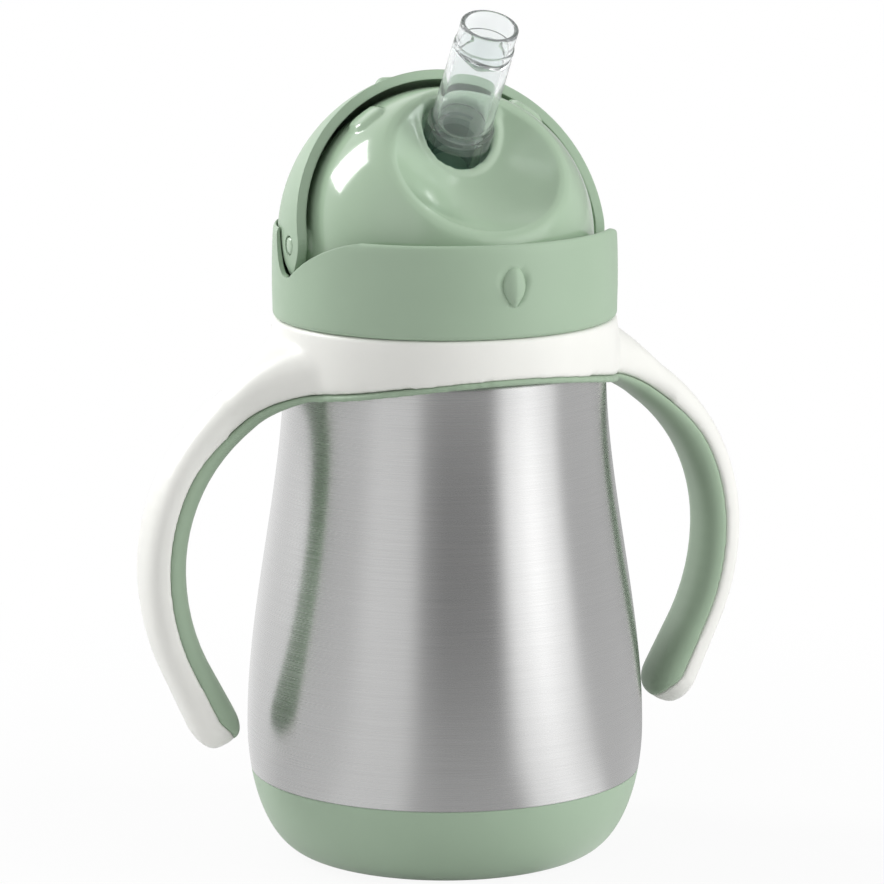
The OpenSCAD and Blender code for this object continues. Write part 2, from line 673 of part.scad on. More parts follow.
outer_shell();
inner_liner();
shell_base();
base_boot();
handle_frame();
handle_grip();
lid_collar();
lid_dome();
lid_gasket();
vent_valve();
straw_adaptor();
lower_straw();
cover();
mouthpiece();
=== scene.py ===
from math import radians, sin, cos, pi, sqrt, hypot, atan2, degrees

import bmesh
import bpy
from mathutils import Matrix, Vector


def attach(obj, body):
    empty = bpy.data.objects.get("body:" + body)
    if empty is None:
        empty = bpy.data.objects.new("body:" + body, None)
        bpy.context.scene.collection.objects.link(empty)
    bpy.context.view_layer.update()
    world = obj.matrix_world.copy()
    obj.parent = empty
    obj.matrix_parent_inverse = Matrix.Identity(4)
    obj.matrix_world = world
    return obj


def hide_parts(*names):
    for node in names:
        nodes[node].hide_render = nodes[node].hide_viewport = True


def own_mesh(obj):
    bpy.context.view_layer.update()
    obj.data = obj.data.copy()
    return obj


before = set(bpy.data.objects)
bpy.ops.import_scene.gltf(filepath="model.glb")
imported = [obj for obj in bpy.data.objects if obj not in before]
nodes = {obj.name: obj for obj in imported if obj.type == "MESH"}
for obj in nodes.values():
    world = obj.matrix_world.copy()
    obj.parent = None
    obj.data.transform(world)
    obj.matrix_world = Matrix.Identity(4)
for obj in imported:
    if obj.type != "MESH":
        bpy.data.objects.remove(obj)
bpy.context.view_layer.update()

scene = bpy.context.scene
mm = 0.001

# ---- camera, room and lights

shot = dict(
    turn=23.0,          # degrees the cup is turned towards the viewer's right
    distance=0.8986,    # along the table, from the cup's axis
    height=0.250,
    pitch=10.67,
    lens=190.4,
    shiftX=-0.0032,
)


def placeCamera():
    cameraData = bpy.data.cameras.new("camera")
    cameraData.lens = shot["lens"]
    cameraData.sensor_width = 36
    cameraData.shift_x = shot["shiftX"]
    cameraData.clip_end = 20
    camera = bpy.data.objects.new("camera", cameraData)
    scene.collection.objects.link(camera)
    turn = radians(shot["turn"])
    camera.location = (-shot["distance"] * sin(turn), -shot["distance"] * cos(turn), shot["height"])
    camera.rotation_euler = (radians(90 - shot["pitch"]), 0, -turn)
    scene.camera = camera


lamps = [
    dict(name="sideSoftbox", at=(-0.67, 0.64, 0.72), size=(0.42, 0.46), power=7.6),
    dict(name="keySoftbox", at=(0.92, -0.58, 0.46), size=(0.4, 0.9), power=6.5, mirrored=False),
    dict(name="topSoftbox", at=(-0.25, -0.15, 1.2), size=(0.6, 0.5), power=1.4, mirrored=False),
]


def addLamps():
    for lamp in lamps:
        data = bpy.data.lights.new(lamp["name"], "AREA")
        data.shape = "RECTANGLE"
        data.size, data.size_y = lamp["size"]
        data.energy = lamp["power"]
        obj = bpy.data.objects.new(lamp["name"], data)
        scene.collection.objects.link(obj)
        at = Vector(lamp["at"])
        obj.location = at
        obj.visible_glossy = lamp.get("mirrored", True)
        obj.rotation_euler = (Vector((0, 0, 0.09)) - at).to_track_quat("-Z", "Y").to_euler()


room = dict(
    floorColor=(0.68, 0.68, 0.68),
    floorSize=3.0,
    paperLight=(0.78, 0.78, 0.78),      # a fixed glow that metal sees in the bare floor, painted in place of its lit surface
    nearWhite=0.92,     # how white the camera sees the floor beside the cup
    fadeFrom=0.06,      # where that starts to fade
    farWhite=0.24,      # and the distance at which the floor is plain white
    # brightness of the studio round the cup, by angle to the right of the camera
    studio=((-180, 0.9), (-155, 1.15), (-118, 0.95), (-86, 0.6), (-64, 0.7), (-44, 0.95), (-24, 0.9),
            (-9, 0.3), (0, 0.22), (30, 0.24), (46, 1.5), (60, 1.95), (76, 1.5), (90, 0.6), (120, 0.6),
            (150, 0.32), (166, 0.4), (180, 0.9)),
    above=0.5,          # and overhead
    overheadFrom=0.45,  # heights between which it turns from the one to the other
    overheadTo=0.95,
    mirrored=0.5,       # share of the painted studio glow that metal sees in the floor
)


def mathNode(tree, operation, a, b=None):
    node = tree.nodes.new("ShaderNodeMath")
    node.operation = operation
    for socket, value in zip(node.inputs, (a, b)):
        if value is None:
            continue
        if isinstance(value, (int, float)):
            socket.default_value = value
        else:
            tree.links.new(value, socket)
    return node.outputs[0]


def seenWhite(tree, lit, share, mirrored=None):
    # the camera and clear rubber see white here, while diffuse light comes from the lit surface; where a
    # painted glow is given, metal sees that instead
    path = tree.nodes.new("ShaderNodeLightPath")
    direct = mathNode(tree, "MAXIMUM", path.outputs["Is Camera Ray"], path.outputs["Is Transmission Ray"])
    if mirrored is not None:
        metal = tree.nodes.new("ShaderNodeMixShader")
        tree.links.new(path.outputs["Is Glossy Ray"], metal.inputs[0])
        tree.links.new(lit, metal.inputs[1])
        tree.links.new(mirrored, metal.inputs[2])
        lit = metal.outputs[0]
    white = tree.nodes.new("ShaderNodeEmission")
    white.inputs["Color"].default_value = (1, 1, 1, 1)
    white.inputs["Strength"].default_value = 1
    mix = tree.nodes.new("ShaderNodeMixShader")
    tree.links.new(mathNode(tree, "MULTIPLY", direct, share), mix.inputs[0])
    tree.links.new(lit, mix.inputs[1])
    tree.links.new(white.outputs[0], mix.inputs[2])
    return mix.outputs[0]


def studioAround(tree, direction):
    # 0 degrees is towards the camera's side of the room, positive to its right
    axes = tree.nodes.new("ShaderNodeSeparateXYZ")
    tree.links.new(direction, axes.inputs[0])
    around = mathNode(tree, "ARCTAN2", axes.outputs["X"], mathNode(tree, "MULTIPLY", axes.outputs["Y"], -1))
    turned = mathNode(tree, "ADD", around, radians(shot["turn"]) + pi)
    part = mathNode(tree, "FRACT", mathNode(tree, "DIVIDE", turned, 2 * pi))
    ramp = tree.nodes.new("ShaderNodeValToRGB")
    ramp.color_ramp.interpolation = "EASE"
    stops = ramp.color_ramp.elements
    while len(stops) < len(room["studio"]):
        stops.new(0.5)
    for stop, (angle, level) in zip(stops, room["studio"]):
        stop.position = (angle + 180) / 360
        stop.color = (level / 2, level / 2, level / 2, 1)
    tree.links.new(part, ramp.inputs[0])
    return ramp.outputs["Color"], axes.outputs["Z"]


def buildWorld():
    world = bpy.data.worlds.new("world")
    scene.world = world
    world.use_nodes = True
    tree = world.node_tree
    coords = tree.nodes.new("ShaderNodeTexCoord")
    around, height = studioAround(tree, coords.outputs["Generated"])
    high = tree.nodes.new("ShaderNodeMapRange")
    high.interpolation_type = "SMOOTHSTEP"
    high.inputs["From Min"].default_value = room["overheadFrom"]
    high.inputs["From Max"].default_value = room["overheadTo"]
    tree.links.new(height, high.inputs["Value"])
    blend = tree.nodes.new("ShaderNodeMix")
    blend.data_type = "RGBA"
    blend.inputs["B"].default_value = (room["above"] / 2, room["above"] / 2, room["above"] / 2, 1)
    tree.links.new(high.outputs["Result"], blend.inputs["Factor"])
    tree.links.new(around, blend.inputs["A"])
    background = tree.nodes["Background"]
    tree.links.new(blend.outputs["Result"], background.inputs["Color"])
    background.inputs["Strength"].default_value = 2
    tree.links.new(seenWhite(tree, background.outputs[0], 1), tree.nodes["World Output"].inputs["Surface"])


def buildFloor():
    bm = bmesh.new()
    bmesh.ops.create_grid(bm, x_segments=1, y_segments=1, size=room["floorSize"])
    floor = finishMesh("floor", bm)
    material = bpy.data.materials.new("floorPaper")
    material.use_nodes = True
    tree = material.node_tree
    shader = tree.nodes["Principled BSDF"]
    shader.inputs["Base Color"].default_value = (*room["floorColor"], 1)
    shader.inputs["Roughness"].default_value = 0.9
    shader.inputs["Specular IOR Level"].default_value = 0.1
    coords = tree.nodes.new("ShaderNodeTexCoord")
    distance = tree.nodes.new("ShaderNodeVectorMath")
    distance.operation = "LENGTH"
    tree.links.new(coords.outputs["Object"], distance.inputs[0])
    fade = tree.nodes.new("ShaderNodeMapRange")
    fade.interpolation_type = "SMOOTHSTEP"
    fade.inputs["From Min"].default_value = room["fadeFrom"]
    fade.inputs["From Max"].default_value = room["farWhite"]
    fade.inputs["To Min"].default_value = room["nearWhite"]
    fade.inputs["To Max"].default_value = 1
    tree.links.new(distance.outputs["Value"], fade.inputs["Value"])
    around = studioAround(tree, coords.outputs["Object"])[0]
    # metal sees painted light in the floor: a fixed glow mixed with the studio pattern, not the lit paper
    paper = tree.nodes.new("ShaderNodeEmission")
    paper.inputs["Color"].default_value = (*room["paperLight"], 1)
    studio = tree.nodes.new("ShaderNodeEmission")
    studio.inputs["Strength"].default_value = 2
    tree.links.new(around, studio.inputs["Color"])
    mirrored = tree.nodes.new("ShaderNodeMixShader")
    mirrored.inputs[0].default_value = room["mirrored"]
    tree.links.new(paper.outputs[0], mirrored.inputs[1])
    tree.links.new(studio.outputs[0], mirrored.inputs[2])
    tree.links.new(seenWhite(tree, shader.outputs[0], fade.outputs["Result"], mirrored.outputs[0]),
                   tree.nodes["Material Output"].inputs["Surface"])
    floor.data.materials.append(material)
    print("room done")


def finishMesh(name, bm, smoothAngle=40):
    mesh = bpy.data.meshes.new(name)
    bm.to_mesh(mesh)
    bm.free()
    mesh.shade_smooth()
    mesh.set_sharp_from_angle(angle=radians(smoothAngle))
    obj = bpy.data.objects.new(name, mesh)
    scene.collection.objects.link(obj)
    return obj


# ---- finishes

def newFinish(name, color, roughness, metallic=0.0, coat=0.0, coatRoughness=0.1, specular=0.5):
    material = bpy.data.materials.new(name)
    material.use_nodes = True
    tree = material.node_tree
    shader = tree.nodes["Principled BSDF"]
    shader.inputs["Base Color"].default_value = (*color, 1)
    shader.inputs["Roughness"].default_value = roughness
    shader.inputs["Metallic"].default_value = metallic
    shader.inputs["Coat Weight"].default_value = coat
    shader.inputs["Coat Roughness"].default_value = coatRoughness
    shader.inputs["Specular IOR Level"].default_value = specular
    return material, tree, shader


def objectNoise(tree, scale, detail=3, stretch=(1, 1, 1)):
    coords = tree.nodes.new("ShaderNodeTexCoord")
    mapping = tree.nodes.new("ShaderNodeMapping")
    mapping.inputs["Scale"].default_value = stretch
    noise = tree.nodes.new("ShaderNodeTexNoise")
    noise.inputs["Scale"].default_value = scale
    noise.inputs["Detail"].default_value = detail
    tree.links.new(coords.outputs["Object"], mapping.inputs["Vector"])
    tree.links.new(mapping.outputs["Vector"], noise.inputs["Vector"])
    return noise.outputs["Fac"]


def spread(tree, value, low, high):
    ranged = tree.nodes.new("ShaderNodeMapRange")
    ranged.inputs["From Min"].default_value = 0.3
    ranged.inputs["From Max"].default_value = 0.7
    ranged.inputs["To Min"].default_value = low
    ranged.inputs["To Max"].default_value = high
    tree.links.new(value, ranged.inputs["Value"])
    return ranged.outputs["Result"]


def tint(tree, shader, value, colorA, colorB):
    mix = tree.nodes.new("ShaderNodeMix")
    mix.data_type = "RGBA"
    mix.inputs["A"].default_value = (*colorA, 1)
    mix.inputs["B"].default_value = (*colorB, 1)
    tree.links.new(value, mix.inputs["Factor"])
    tree.links.new(mix.outputs["Result"], shader.inputs["Base Color"])


def addBump(tree, shader, height, strength, distance, edge=0.0):
    bump = tree.nodes.new("ShaderNodeBump")
    bump.inputs["Strength"].default_value = strength
    bump.inputs["Distance"].default_value = distance
    tree.links.new(height, bump.inputs["Height"])
    if edge:
        bevel = tree.nodes.new("ShaderNodeBevel")
        bevel.samples = 4
        bevel.inputs["Radius"].default_value = edge
        tree.links.new(bevel.outputs["Normal"], bump.inputs["Normal"])
    tree.links.new(bump.outputs["Normal"], shader.inputs["Normal"])


def mouldedPlastic(name, color, roughness, grain=0.12, coat=0.0):
    material, tree, shader = newFinish(name, color, roughness, coat=coat, coatRoughness=0.06)
    mottled = spread(tree, objectNoise(tree, 60, 4), 0, 1)
    tint(tree, shader, mottled, [c * 0.975 for c in color], [min(1, c * 1.02) for c in color])
    tree.links.new(spread(tree, objectNoise(tree, 240, 3), roughness * 0.9, roughness * 1.1),
                   shader.inputs["Roughness"])
    addBump(tree, shader, objectNoise(tree, 2600, 2), grain, 0.00004, edge=0.0004)
    return material


def softSilicone(name, color, roughness):
    material, tree, shader = newFinish(name, color, roughness)
    shader.inputs["Sheen Weight"].default_value = 0.15
    shader.inputs["Sheen Roughness"].default_value = 0.5
    mottled = spread(tree, objectNoise(tree, 45, 4), 0, 1)
    tint(tree, shader, mottled, [c * 0.96 for c in color], [min(1, c * 1.03) for c in color])
    addBump(tree, shader, objectNoise(tree, 1800, 3), 0.15, 0.00005, edge=0.0005)
    return material


def brushedSteel(name, color, roughness, lines):
    material, tree, shader = newFinish(name, color, roughness, metallic=1.0)
    # brushed round the cup, so it glints up and down
    shader.inputs["Anisotropic"].default_value = 0.8
    shader.inputs["Anisotropic Rotation"].default_value = 0.25
    streaks = objectNoise(tree, 1, 5, stretch=(26, 26, lines))
    fine = objectNoise(tree, 1, 3, stretch=(90, 90, lines * 2.4))
    tree.links.new(spread(tree, streaks, roughness * 0.88, roughness * 1.12), shader.inputs["Roughness"])
    tint(tree, shader, spread(tree, fine, 0, 1), [c * 0.96 for c in color], [c * 1.03 for c in color])
    addBump(tree, shader, fine, 0.2, 0.00001, edge=0.0003)
    return material


def clearRubber(name, color, clearness, roughness):
    material, tree, shader = newFinish(name, color, roughness)
    shader.inputs["Transmission Weight"].default_value = clearness
    shader.inputs["IOR"].default_value = 1.27
    addBump(tree, shader, objectNoise(tree, 300, 2), 0.1, 0.00004)
    return material


colors = dict(
    sage=(0.355, 0.472, 0.345),
    sageDome=(0.378, 0.507, 0.365),
    boot=(0.36, 0.48, 0.35),
    grip=(0.325, 0.435, 0.312),
    white=(0.84, 0.84, 0.80),
    steel=(0.60, 0.60, 0.597),
    liner=(0.56, 0.56, 0.555),
    clear=(0.95, 0.975, 0.975),
    # darkened tint: painted shade of the hole that the mouthpiece root sits in
    clearRootPaintedShade=(0.42, 0.53, 0.52),
    clearHard=(0.97, 0.985, 0.98),
)


def setFinish(obj, material):
    obj.data.materials.clear()
    obj.data.materials.append(material)


def fit(obj, body, material, *replaced):
    setFinish(obj, material)
    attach(obj, body)
    if replaced:
        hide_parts(*replaced)
    return obj


# ---- shaping helpers, all in millimetres until a mesh is finished

def arcPoints(x, z, radius, start, end, steps):
    return [(x + radius * cos(radians(start + (end - start) * i / steps)),
             z + radius * sin(radians(start + (end - start) * i / steps))) for i in range(steps + 1)]


def curvePoints(a, b, c, steps):
    points = []
    for i in range(steps + 1):
        t = i / steps
        points.append(tuple((1 - t) ** 2 * a[k] + 2 * t * (1 - t) * b[k] + t * t * c[k] for k in (0, 1)))
    return points


def linePoints(a, b, steps):
    return [(a[0] + (b[0] - a[0]) * i / steps, a[1] + (b[1] - a[1]) * i / steps) for i in range(steps + 1)]


def lathe(outline, steps=128, closed=True):
    # an outline of (radius, height) turned right round; an open one starts and ends on the axis
    bm = bmesh.new()
    verts = [bm.verts.new((radius * mm, 0, height * mm)) for radius, height in outline]
    ends = verts[1:] + verts[:1] if closed else verts[1:]
    edges = [bm.edges.new(pair) for pair in zip(verts, ends)]
    bmesh.ops.spin(bm, geom=verts + edges, cent=(0, 0, 0), axis=(0, 0, 1), angle=2 * pi, steps=steps,
                   use_merge=True)
    bmesh.ops.remove_doubles(bm, verts=bm.verts, dist=0.0000005)
    bmesh.ops.recalc_face_normals(bm, faces=bm.faces)
    return bm


def copyOf(nodeName):
    # the node's own mesh with its loose triangles welded
    bm = bmesh.new()
    bm.from_mesh(nodes[nodeName].data)
    bmesh.ops.remove_doubles(bm, verts=bm.verts, dist=0.000002)
    return bm


def ball(center, radius):
    bm = bmesh.new()
    bmesh.ops.create_uvsphere(bm, u_segments=160, v_segments=80, radius=radius * mm)
    bmesh.ops.translate(bm, verts=bm.verts, vec=Vector(center) * mm)
    return bm


def rod(place, radius, low, high, steps=96):
    bm = lathe([(0, low), (radius, low), (radius, high), (0, high)], steps, closed=False)
    bm.transform(place)
    return bm


def carve(body, tool, operation="DIFFERENCE"):
    # both are bmeshes; the tool is used up
    bodyObj = finishMesh("carveBody", body)
    toolObj = finishMesh("carveTool", tool)
    cut = bodyObj.modifiers.new("cut", "BOOLEAN")
    cut.operation = operation
    cut.solver = "EXACT"
    cut.object = toolObj
    result = takeShape(bodyObj)
    bpy.data.objects.remove(toolObj, do_unlink=True)
    return result


def takeShape(obj):
    # the shape after the modifiers, as a bmesh; the object goes
    bpy.context.view_layer.update()
    shaped = obj.evaluated_get(bpy.context.evaluated_depsgraph_get())
    bm = bmesh.new()
    bm.from_mesh(shaped.to_mesh())
    shaped.to_mesh_clear()
    bpy.data.objects.remove(obj, do_unlink=True)
    return bm


def join(bm, other):
    mesh = bpy.data.meshes.new("joined")
    other.to_mesh(mesh)
    other.free()
    bm.from_mesh(mesh)
    bpy.data.meshes.remove(mesh)
    return bm


def evenSkin(bm, voxel):
    # one closed skin of even squares round everything in the bmesh
    rough = finishMesh("rough", bm)
    remesh = rough.modifiers.new("even", "REMESH")
    remesh.mode = "VOXEL"
    remesh.voxel_size = voxel * mm
    return takeShape(rough)


def ease(bm, verts, rounds):
    for _ in range(rounds):
        bmesh.ops.smooth_vert(bm, verts=verts, factor=0.5, use_axis_x=True, use_axis_y=True, use_axis_z=True)


# ---- steel vessel

vessel = dict(bellyR=39.0, waistR=31.4, bellyZ=24.5, shoulderZ=97.3, footInset=11.3, bootZ=16.3, bootWall=1.6,
              skin=0.6, vacuum=3.0, neckR=28.9, lipZ=112.5, linerZ=8.6, footWide=6.0)


def bodyRadius(z):
    v = vessel
    if z > v["bellyZ"]:
        t = (v["shoulderZ"] - z) / (v["shoulderZ"] - v["bellyZ"])
        return v["waistR"] + (v["bellyR"] - v["waistR"]) * t * t * (3 - 2 * t)
    return v["bellyR"] - v["footInset"] * (1 - sqrt(max(0, 1 - ((v["bellyZ"] - z) / v["bellyZ"]) ** 2)))


def bodySide(low, high, inset, steps):
    return [(bodyRadius(low + (high - low) * i / steps) - inset, low + (high - low) * i / steps)
            for i in range(steps + 1)]


thread = dict(top=110.9, pitch=3.2, turns=1.4, steps=84, sunk=0.35, fadeShare=6, startDrop=1.2,
              section=[(-0.35, 0.95), (0.45, 0.62), (1.0, 0.25), (1.1, 0),
                       (1.0, -0.25), (0.45, -0.62), (-0.35, -0.95)])


def threadRidge(bm):
    # a rolled ridge climbing round the neck, faded out at both ends
    t = thread
    plain = set(bm.verts)
    neckR = vessel["neckR"]
    verts = [bm.verts.new(((neckR + out) * mm, 0, (t["top"] + up) * mm)) for out, up in t["section"]]
    edges = [bm.edges.new(pair) for pair in zip(verts, verts[1:])]
    drop = -t["pitch"] * t["turns"] * mm
    bmesh.ops.spin(bm, geom=verts + edges, cent=(0, 0, 0), axis=(0, 0, 1), angle=2 * pi * t["turns"],
                   steps=t["steps"], dvec=(0, 0, drop / t["steps"]))
    for vert in bm.verts:
        if vert in plain:
            continue
        angle = degrees(atan2(vert.co.y, vert.co.x)) % 360
        turnsDone = angle / 360
        if t["top"] - vert.co.z / mm - t["pitch"] * turnsDone > t["pitch"] / 2:
            turnsDone += 1
        elif angle > 350 and vert.co.z / mm > t["top"] - t["startDrop"]:
            turnsDone = 0
        share = turnsDone / t["turns"]
        fade = max(0.0, min(1.0, t["fadeShare"] * share, t["fadeShare"] * (1 - share)))
        radius = vert.co.xy.length
        base = (neckR - t["sunk"]) * mm
        vert.co.xy *= (base + (radius - base) * fade) / radius


def makeVessel():
    v = vessel
    outer = bodySide(v["bootZ"], v["bellyZ"], 0, 14) + bodySide(v["bellyZ"] + 1, v["shoulderZ"] - 1.2, 0, 70)
    outer += arcPoints(v["waistR"] - 1.2, v["shoulderZ"] - 1.2, 1.2, 8, 84, 6)
    outer += [(v["neckR"] + 0.8, v["shoulderZ"]), (v["neckR"] + 0.2, v["shoulderZ"] + 0.2),
              (v["neckR"], v["shoulderZ"] + 0.8), (v["neckR"], v["lipZ"] - 0.65),
              (v["neckR"] - v["skin"], v["lipZ"] - 0.65), (v["neckR"] - v["skin"], v["shoulderZ"] - 0.6)]
    outer += bodySide(v["shoulderZ"] - 3, v["bellyZ"], v["skin"], 30)
    outer += bodySide(v["bellyZ"] - 1, v["bootZ"] + 1, v["skin"], 6)
    outer += bodySide(v["bootZ"] - 1, 2.85, v["bootWall"] + 0.1 + v["skin"], 18)
    outer += bodySide(2.85, v["bootZ"] - 0.01, v["bootWall"] + 0.1, 18)
    bm = lathe(outer, 192)
    threadRidge(bm)
    fit(finishMesh("steelShell", bm, 34), "vessel", steel, "outer_shell")

    deep = v["skin"] + v["vacuum"]
    floorR = bodyRadius(v["linerZ"] + 9) - deep - 9
    neckIn = v["neckR"] - 1.0
    inside = [(0, v["linerZ"])] + arcPoints(floorR, v["linerZ"] + 9, 9, -90, -6, 12)
    inside += bodySide(v["linerZ"] + 10, v["shoulderZ"] - 6, deep, 34)
    inside += [(neckIn, v["shoulderZ"]), (neckIn, v["lipZ"] - 0.6), (v["neckR"], v["lipZ"] - 0.6)]
    inside += arcPoints(v["neckR"] - 0.3, v["lipZ"] - 0.3, 0.3, 0, 90, 4)
    inside += arcPoints(neckIn - 0.2, v["lipZ"] - 0.4, 0.4, 90, 180, 4)
    inside += [(neckIn - v["skin"], v["shoulderZ"] + 1), (neckIn - v["skin"], v["shoulderZ"])]
    inside += bodySide(v["shoulderZ"] - 6, v["linerZ"] + 10, deep + v["skin"], 34)
    inside += arcPoints(floorR, v["linerZ"] + 9, 9 - v["skin"], -6, -90, 12) + [(0, v["linerZ"] + v["skin"])]
    fit(finishMesh("steelLiner", lathe(inside, 128, closed=False), 34), "vessel", linerSteel, "inner_liner")
    print("vessel done")


# ---- silicone boot

boot = dict(sole=0.7, floor=1.6, sideFrom=2.5, sideTo=19.6, sideSteps=40)


def makeBoot():
    v = vessel
    footR = v["bellyR"] - v["footInset"]
    standR = footR - v["footWide"]
    outline = [(0, boot["sole"]), (standR - 1, boot["sole"]), (standR, 0.05), (standR + 0.3, 0), (footR, 0)]
    for i in range(boot["sideSteps"] + 1):
        up = boot["sideFrom"] + (90 - boot["sideFrom"] - boot["sideTo"]) * i / boot["sideSteps"]
        a = radians(90 - up)
        outline.append((v["bellyR"] - v["footInset"] * (1 - cos(a)), v["bellyZ"] * (1 - sin(a))))
    topR = bodyRadius(v["bootZ"] - 0.5)
    outline += arcPoints(topR - 0.16, v["bootZ"] - 0.2, 0.18, 5, 95, 5)
    outline += [(topR - 0.9, v["bootZ"] - 0.02), (topR - v["bootWall"], v["bootZ"] - 0.02)]
    outline += bodySide(v["bootZ"] - 0.8, 1.85, v["bootWall"], 18)
    outline += [(bodyRadius(1.65) - 2.2, boot["floor"]), (0, boot["floor"])]
    fit(finishMesh("footBoot", lathe(outline, 160, closed=False), 30), "vessel", bootSilicone, "base_boot")
    print("boot done")


# ---- handle ring: a hard white frame with a soft inside

handles = dict(voxel=0.42, ringR=32.5, rootNear=18.0, rootFar=47.0, rootLow=74.0, rootTop=105.3, rootRounds=28,
               evenRounds=4, swell=0.07)


def makeHandles():
    for nodeName, pieceName, material in (("handle_frame", "handleFrame", whitePlastic),
                                          ("handle_grip", "handleGrip", gripSilicone)):
        bm = evenSkin(copyOf(nodeName), handles["voxel"])
        if nodeName == "handle_frame":
            # its roots flow into the ring, so they are eased more than the rest
            root = [v for v in bm.verts if v.co.xy.length > handles["ringR"] * mm
                    and handles["rootNear"] * mm < abs(v.co.x) < handles["rootFar"] * mm
                    and handles["rootLow"] * mm < v.co.z < handles["rootTop"] * mm]
            ease(bm, root, handles["rootRounds"])
        ease(bm, bm.verts, handles["evenRounds"])
        bm.normal_update()
        for vert in bm.verts:       # a little fuller, so that no gap shows between the two mouldings
            vert.co += vert.normal * handles["swell"] * mm
        print(pieceName, "faces", len(bm.faces))
        fit(finishMesh(pieceName, bm, 60), "handles", material, nodeName)
    print("handles done")


# ---- dome with its dish, on the collar

dome = dict(pivotZ=121.3, outerR=29.0, wall=1.8, dishR=28.6, dishOut=46.1, tilt=45.0,
            holeR=7.0, holeShift=-0.5, holeDeep=6.0, padR=8.0, padHigh=0.8, padDeep=5.0,
            voxel=0.45, rimBand=3.2, rimRounds=40, holeBand=0.6, holeRounds=14, evenRounds=6)


def makeDome():
    d = dome
    wall = d["wall"]
    pivot = Vector((0, 0, d["pivotZ"]))
    dish = pivot + d["dishOut"] * Vector((0, -sin(radians(d["tilt"])), cos(radians(d["tilt"]))))
    skin = carve(ball(pivot, d["outerR"]), ball(dish, d["dishR"]))
    skin = carve(skin, carve(ball(pivot, d["outerR"] - wall), ball(dish, d["dishR"] + 2 * wall)))
    pad = carve(rod(strawPlace(), d["padR"], -d["padDeep"], 9), ball(dish, d["dishR"] - d["padHigh"]))
    skin = join(skin, carve(pad, ball(pivot, d["outerR"] - 0.3), "INTERSECT"))
    skin = evenSkin(skin, d["voxel"])
    hole = rod(strawPlace() @ Matrix.Translation((d["holeShift"] * mm, 0, 0)), d["holeR"], -d["holeDeep"], 30)
    skin = carve(skin, hole)
    below = bmesh.ops.bisect_plane(skin, geom=skin.verts[:] + skin.edges[:] + skin.faces[:],
                                   plane_co=pivot * mm, plane_no=(0, 0, 1), clear_inner=True)
    openEdges = [e for e in below["geom_cut"] if isinstance(e, bmesh.types.BMEdge)]
    bmesh.ops.contextual_create(skin, geom=openEdges)
    bm = evenSkin(join(copyOf("lid_dome"), skin), d["voxel"])

    rim = [v for v in bm.verts if abs((v.co / mm - pivot).length - d["outerR"]) < d["rimBand"]
           and abs((v.co / mm - dish).length - d["dishR"]) < d["rimBand"]]
    ease(bm, rim, d["rimRounds"])
    toStraw = strawPlace().inverted()
    edge = []
    for vert in bm.verts:
        across = toStraw @ vert.co
        if across.xy.length < (d["padR"] + d["holeBand"]) * mm and across.z > -(d["holeDeep"] + 0.5) * mm:
            edge.append(vert)
    ease(bm, edge, d["holeRounds"])
    ease(bm, bm.verts, d["evenRounds"])
    # smooth round faces lie on their true balls again
    for vert in bm.verts:
        point = vert.co / mm
        for center, radius in ((pivot, d["outerR"]), (dish, d["dishR"])):
            away = (point - center).length
            pull = 1 - min(1, max(0, (abs(away - radius) - 0.05) / 0.2))
            if point.z > d["pivotZ"] and pull > 0:
                point += (point - center) * (radius / away - 1) * pull
        vert.co = point * mm
    print("dome faces", len(bm.faces))
    fit(finishMesh("lidDome", bm, 60), "lid", domeSage, "lid_dome")


# ---- collar with its drop mark, and the cover that swings behind its rim

collar = dict(outerR=33.6, plainR=33.5, markHalf=3.4, markFront=32.5)
drop = dict(wide=4.7, high=7.8, proud=1.3, z=116.0, sunk=0.35, ridge=0.12, taper=0.45)


def makeCollar():
    bm = copyOf("lid_collar")
    for vert in bm.verts:       # the node's own mark is laid flat
        if (vert.co.y < -collar["markFront"] * mm and abs(vert.co.x) < collar["markHalf"] * mm
                and vert.co.xy.length > (collar["outerR"] + 0.02) * mm):
            vert.co.xy = vert.co.xy.normalized() * collar["plainR"] * mm
    fit(finishMesh("lidCollar", bm, 30), "lid", sage, "lid_collar")

    bm = bmesh.new()
    bmesh.ops.create_uvsphere(bm, u_segments=64, v_segments=48, radius=1)
    for vert in bm.verts:
        x, y, z = vert.co
        narrow = 1 - drop["taper"] * max(0, -z) ** 1.5
        ridge = abs(x) * drop["ridge"] if y < 0 else 0
        vert.co = (x * narrow * drop["wide"] / 2 * mm,
                   (-collar["outerR"] + drop["sunk"] + (y + ridge) * (drop["proud"] + drop["sunk"])) * mm,
                   (drop["z"] + z * drop["high"] / 2) * mm)
    fit(finishMesh("collarDrop", bm, 60), "lid", sage, "lid_collar")
    print("collar done")


def makeCover():
    fit(finishMesh("swingCover", copyOf("cover"), 30), "cover", sage, "cover")
    print("cover done")


# ---- mouthpiece: a soft tube standing in the dish

spout = dict(holeY=-5.788, holeZ=140.966, tilt=34.5, length=28.3, slant=0.13, splitAt=1.0, pressed=0.2,
             tipR=5.55, wall=0.95, rimRound=0.42, stepDrop=4.2, stepOut=0.25, lowR=5.95,
             plugR=6.55, plugLow=-13.05, flangeOut=2.0, flangeHigh=1.55, throat=3.4,
             valveDrop=7.4, slitTurn=0.6, slitRise=1.7, slitFall=2.4)


def strawPlace():
    return (Matrix.Translation((0, spout["holeY"] * mm, spout["holeZ"] * mm))
            @ Matrix.Rotation(radians(spout["tilt"]), 4, "X"))


